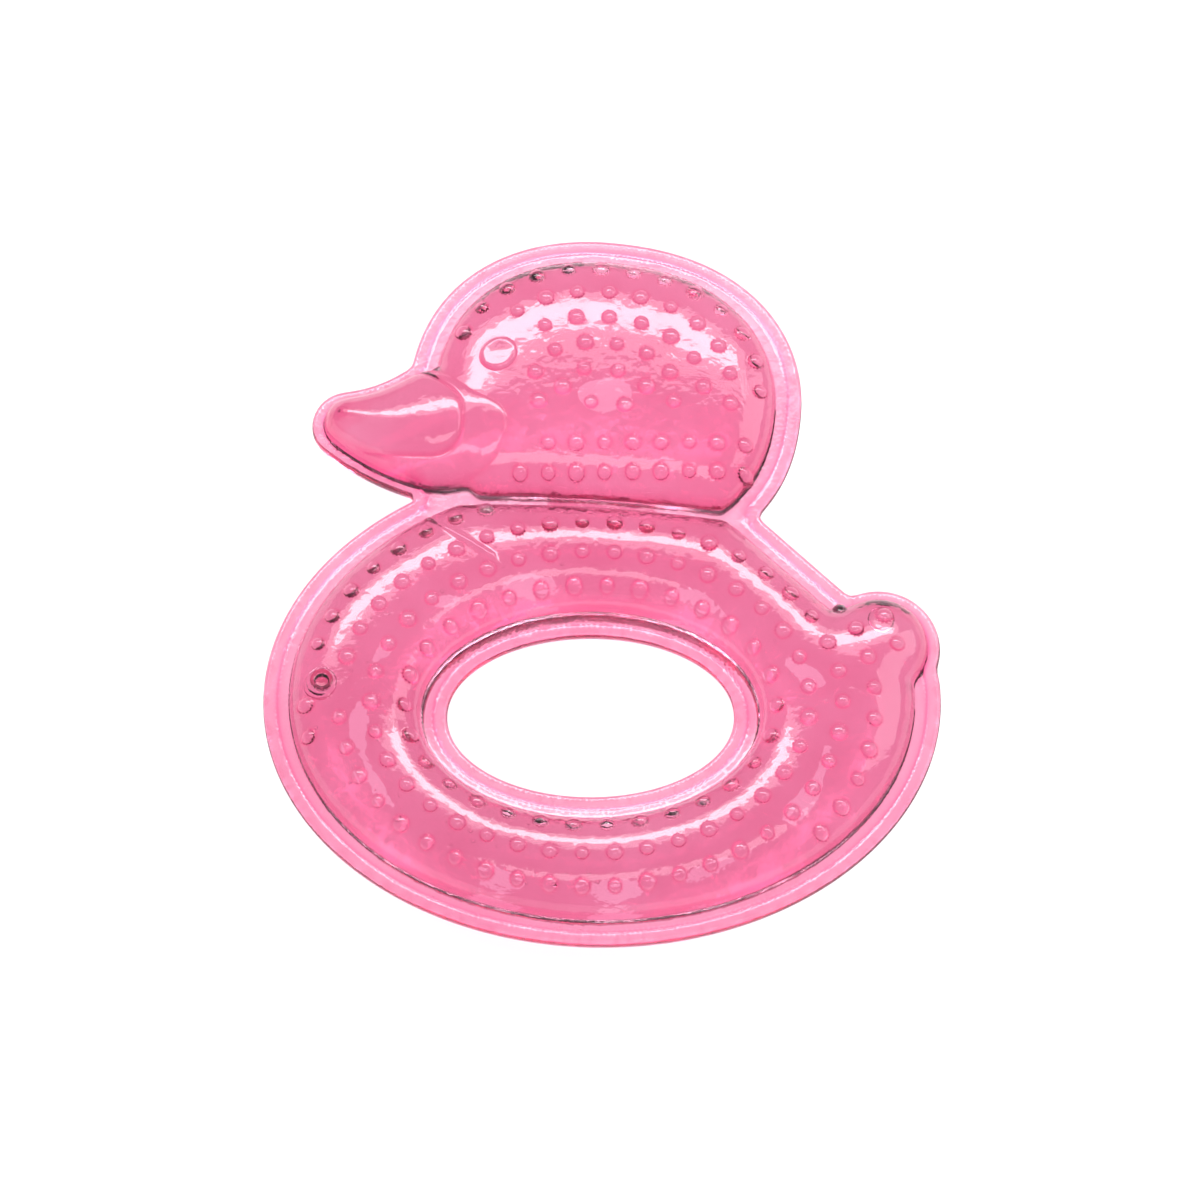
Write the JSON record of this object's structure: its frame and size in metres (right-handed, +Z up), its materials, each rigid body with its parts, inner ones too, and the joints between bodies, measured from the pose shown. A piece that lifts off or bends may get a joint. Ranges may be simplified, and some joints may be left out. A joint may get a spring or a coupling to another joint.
{
  "type": "teething ring",
  "caption": "Water-filled teething ring shaped like a duck, with a hand hole, a welded flat rim and small chewing nubs.",
  "frame": {"origin": "middle of the outline's box, on the floor under the back shell", "axes": "+Z up through the thickness, from the back shell to the front shell; +Y from the hand hole to the head; -X towards the beak"},
  "size_m": [0.1006, 0.1118, 0.0156],
  "materials": {
    "shell_plastic": "translucent, soft gloss",
    "water": "clear",
    "plug_plastic": "translucent, soft gloss"
  },
  "bodies": {
    "root": {"front_shell": "shell_plastic", "back_shell": "shell_plastic", "water": "water", "fill_plug": "plug_plastic"}
  },
  "joints": []
}
